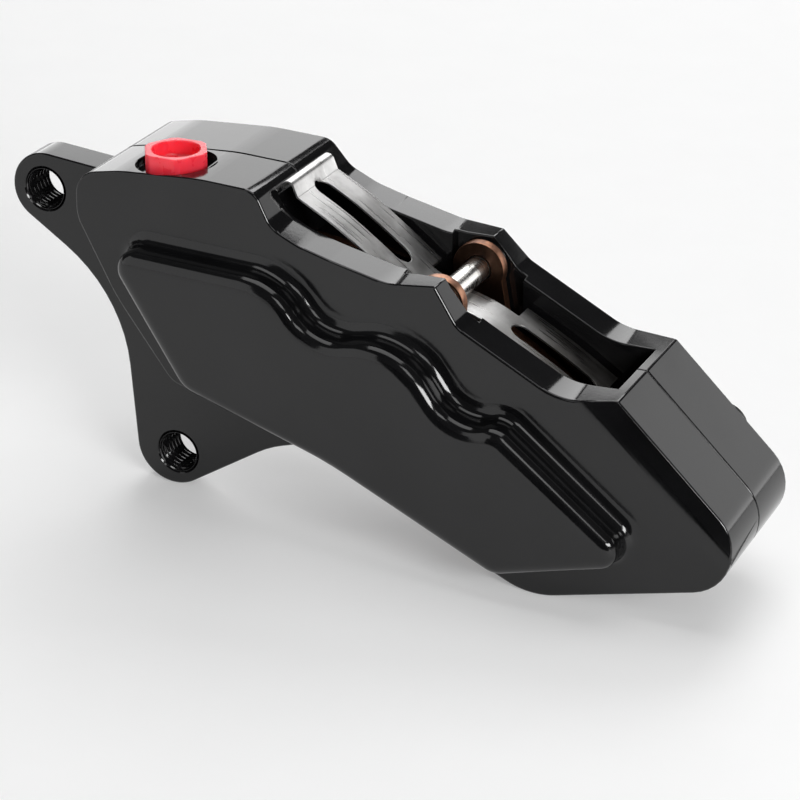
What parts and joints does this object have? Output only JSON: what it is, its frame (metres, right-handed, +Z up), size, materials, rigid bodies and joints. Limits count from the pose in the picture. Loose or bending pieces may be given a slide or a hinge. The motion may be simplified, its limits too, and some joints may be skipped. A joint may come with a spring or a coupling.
{
  "type": "motorcycle brake caliper",
  "caption": "Fixed opposed-piston brake caliper in two bolted halves, with a mounting plate, sliding pads hung on a cross pin, a leaf spring, bleed screws and a capped fluid inlet.",
  "frame": {"origin": "centre of the bounding box on the floor, with the caliper standing on its lower ear and its right-hand end", "axes": "+X along the caliper from the inlet end to the plain end, +Y across the disc from the mounting half to the outer half, +Z up"},
  "size_m": [0.2034, 0.0618, 0.0946],
  "materials": {
    "black_body": "gloss black coating",
    "spring_steel": "brushed",
    "pin_steel": "satin",
    "red_plastic": "gloss",
    "piston": "satin",
    "seal_rubber": "matt",
    "backing": "copper-coloured plating",
    "shim": "bright",
    "lining": "dark brown sintered",
    "bolt_black": "black oxide",
    "bleed_steel": "bright zinc"
  },
  "bodies": {
    "caliper": {"near_half": "black_body", "far_half": "black_body", "leaf_spring": "spring_steel", "pressure_seal_near_1": "seal_rubber", "dust_seal_near_1": "seal_rubber", "pressure_seal_near_2": "seal_rubber", "dust_seal_near_2": "seal_rubber", "pressure_seal_near_3": "seal_rubber", "dust_seal_near_3": "seal_rubber", "pressure_seal_far_1": "seal_rubber", "dust_seal_far_1": "seal_rubber", "pressure_seal_far_2": "seal_rubber", "dust_seal_far_2": "seal_rubber", "pressure_seal_far_3": "seal_rubber", "dust_seal_far_3": "seal_rubber", "crossover_seal_1": "seal_rubber", "crossover_seal_2": "seal_rubber", "body_bolt_1": "bolt_black", "body_bolt_2": "bolt_black", "body_bolt_3": "bolt_black", "body_bolt_4": "bolt_black"},
    "pad_near": {"backing_plate_near": "backing", "lining_near": "lining", "shim_near": "shim"},
    "pad_far": {"backing_plate_far": "backing", "lining_far": "lining", "shim_far": "shim"},
    "piston_near_1": {"piston_near_1": "piston"},
    "piston_near_2": {"piston_near_2": "piston"},
    "piston_near_3": {"piston_near_3": "piston"},
    "piston_far_1": {"piston_far_1": "piston"},
    "piston_far_2": {"piston_far_2": "piston"},
    "piston_far_3": {"piston_far_3": "piston"},
    "pad_pin": {"pad_pin": "pin_steel"},
    "port_cap": {"port_cap": "red_plastic"},
    "bleed_screw_1": {"bleed_screw_1": "bleed_steel"},
    "bleed_cap_1": {"bleed_cap_1": "seal_rubber"},
    "bleed_screw_2": {"bleed_screw_2": "bleed_steel"},
    "bleed_cap_2": {"bleed_cap_2": "seal_rubber"}
  },
  "joints": [
    {"name": "pad_near_slide", "type": "slide", "parent": "caliper", "child": "pad_near", "axis": [0, 1, 0], "range_m": [0, 0.0035]},
    {"name": "pad_far_slide", "type": "slide", "parent": "caliper", "child": "pad_far", "axis": [0, -1, 0], "range_m": [0, 0.0035]},
    {"name": "piston_near_1_slide", "type": "slide", "parent": "caliper", "child": "piston_near_1", "axis": [0, 1, 0], "range_m": [0, 0.0035]},
    {"name": "piston_near_2_slide", "type": "slide", "parent": "caliper", "child": "piston_near_2", "axis": [0, 1, 0], "range_m": [0, 0.0035]},
    {"name": "piston_near_3_slide", "type": "slide", "parent": "caliper", "child": "piston_near_3", "axis": [0, 1, 0], "range_m": [0, 0.0035]},
    {"name": "piston_far_1_slide", "type": "slide", "parent": "caliper", "child": "piston_far_1", "axis": [0, -1, 0], "range_m": [0, 0.0035]},
    {"name": "piston_far_2_slide", "type": "slide", "parent": "caliper", "child": "piston_far_2", "axis": [0, -1, 0], "range_m": [0, 0.0035]},
    {"name": "piston_far_3_slide", "type": "slide", "parent": "caliper", "child": "piston_far_3", "axis": [0, -1, 0], "range_m": [0, 0.0035]},
    {"name": "pad_pin_slide", "type": "slide", "parent": "caliper", "child": "pad_pin", "axis": [0, 1, 0], "range_m": [0, 0.045]},
    {"name": "port_cap_lift", "type": "slide", "parent": "caliper", "child": "port_cap", "axis": [-0.0312, 0, 0.9995], "range_m": [0, 0.018]},
    {"name": "bleed_screw_1_turn", "type": "hinge", "parent": "caliper", "child": "bleed_screw_1", "pos_m": [-0.05169, 0.022, 0.08197], "axis": [0, 1, 0], "range_deg": [0, 180]},
    {"name": "bleed_cap_1_pull", "type": "slide", "parent": "bleed_screw_1", "child": "bleed_cap_1", "axis": [0, 1, 0], "range_m": [0, 0.012]},
    {"name": "bleed_screw_2_turn", "type": "hinge", "parent": "caliper", "child": "bleed_screw_2", "pos_m": [0.07464, 0.022, 0.04139], "axis": [0, 1, 0], "range_deg": [0, 180]},
    {"name": "bleed_cap_2_pull", "type": "slide", "parent": "bleed_screw_2", "child": "bleed_cap_2", "axis": [0, 1, 0], "range_m": [0, 0.012]}
  ],
  "couplings": [
    {"joint": "pad_far_slide", "follows": "pad_near_slide", "ratio": 1},
    {"joint": "piston_near_1_slide", "follows": "pad_near_slide", "ratio": 1},
    {"joint": "piston_near_2_slide", "follows": "pad_near_slide", "ratio": 1},
    {"joint": "piston_near_3_slide", "follows": "pad_near_slide", "ratio": 1},
    {"joint": "piston_far_1_slide", "follows": "pad_near_slide", "ratio": 1},
    {"joint": "piston_far_2_slide", "follows": "pad_near_slide", "ratio": 1},
    {"joint": "piston_far_3_slide", "follows": "pad_near_slide", "ratio": 1}
  ]
}
